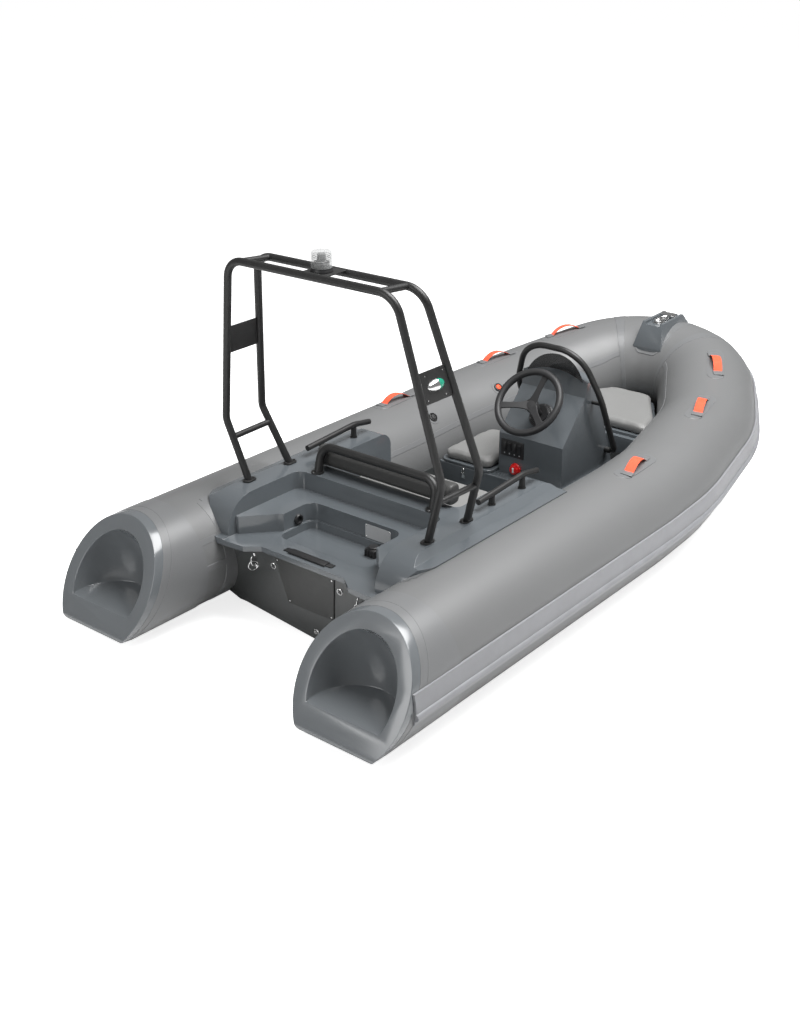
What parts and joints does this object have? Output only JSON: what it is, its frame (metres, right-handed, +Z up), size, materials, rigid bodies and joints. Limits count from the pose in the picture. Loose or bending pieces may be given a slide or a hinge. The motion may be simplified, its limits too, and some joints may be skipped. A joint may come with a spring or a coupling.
{
  "type": "inflatable rib boat",
  "caption": "Open inflatable boat with a moulded V hull, steering console, seats, lockers with lids and a tubular stern arch carrying lights.",
  "frame": {"origin": "on the floor under the keel, half-way along the boat", "axes": "+X starboard, +Y to the bow, +Z up"},
  "size_m": [1.865, 3.7696, 1.6261],
  "materials": {
    "tube_fabric": "coated grey fabric, satin",
    "cone": "gloss",
    "rail": "satin",
    "gelcoat": "gloss",
    "hull_gelcoat": "satin",
    "cushion": "matt",
    "black_frame": "satin powder coat",
    "black_plastic": "matt",
    "stainless": "polished",
    "smoke_acrylic": "clear, smoked",
    "clear_lens": "clear",
    "green_lens": "clear",
    "red_lens": "clear",
    "red_plastic": "gloss",
    "webbing": "woven",
    "grey_plate": "matt"
  },
  "bodies": {
    "boat": {"collar_port": "tube_fabric", "collar_bow": "tube_fabric", "collar_starboard": "tube_fabric", "cone_port": "cone", "cone_starboard": "cone", "rub_rail_port": "rail", "rub_rail_starboard": "rail", "hull": "hull_gelcoat", "sole": "gelcoat", "stern_deck": "gelcoat", "motor_plate": "hull_gelcoat", "clamp_strip": "black_plastic", "towing_rings": "stainless", "drain_sockets": "stainless", "bench_cushion": "cushion", "backrest_hoop": "black_frame", "backrest_bolster": "cushion", "grab_rail_port": "black_frame", "grab_rail_starboard": "black_frame", "arch_hoop_aft": "black_frame", "arch_hoop_forward": "black_frame", "arch_feet": "black_frame", "arch_ties": "black_frame", "arch_plates": "black_frame", "light_shelf": "black_frame", "masthead_base": "black_plastic", "masthead_lens": "clear_lens", "nav_light_green": "green_lens", "nav_light_red": "red_lens", "locker_box": "gelcoat", "locker_latch": "stainless", "console": "gelcoat", "windscreen": "smoke_acrylic", "helm_bezel": "black_plastic", "switch_panel": "black_plastic", "battery_switch": "red_plastic", "console_rail": "black_frame", "bow_locker": "gelcoat", "bow_bracket": "gelcoat", "bow_roller": "stainless", "carry_handles_port": "webbing", "carry_handles_starboard": "webbing", "inflation_valves": "black_plastic", "hose_fitting": "black_plastic", "rating_plate": "grey_plate", "filter_box": "black_plastic"},
    "helm": {"steering_wheel": "black_plastic"},
    "side_seat": {"port_lid": "gelcoat", "port_cushion": "cushion"},
    "bow_seat": {"bow_lid": "gelcoat", "bow_cushion": "cushion"}
  },
  "joints": [
    {"name": "steering", "type": "hinge", "parent": "boat", "child": "helm", "pos_m": [0.0945, 0.25316, 0.57735], "axis": [0, -0.7488, 0.6627], "range_deg": [-540, 540]},
    {"name": "port_lid_hinge", "type": "hinge", "parent": "boat", "child": "side_seat", "pos_m": [-0.24, 0.51, 0.2763], "axis": [-1, 0, 0], "range_deg": [0, 42]},
    {"name": "bow_lid_hinge", "type": "hinge", "parent": "boat", "child": "bow_seat", "pos_m": [0, 0.818, 0.3383], "axis": [1, 0, 0], "range_deg": [0, 88]}
  ]
}
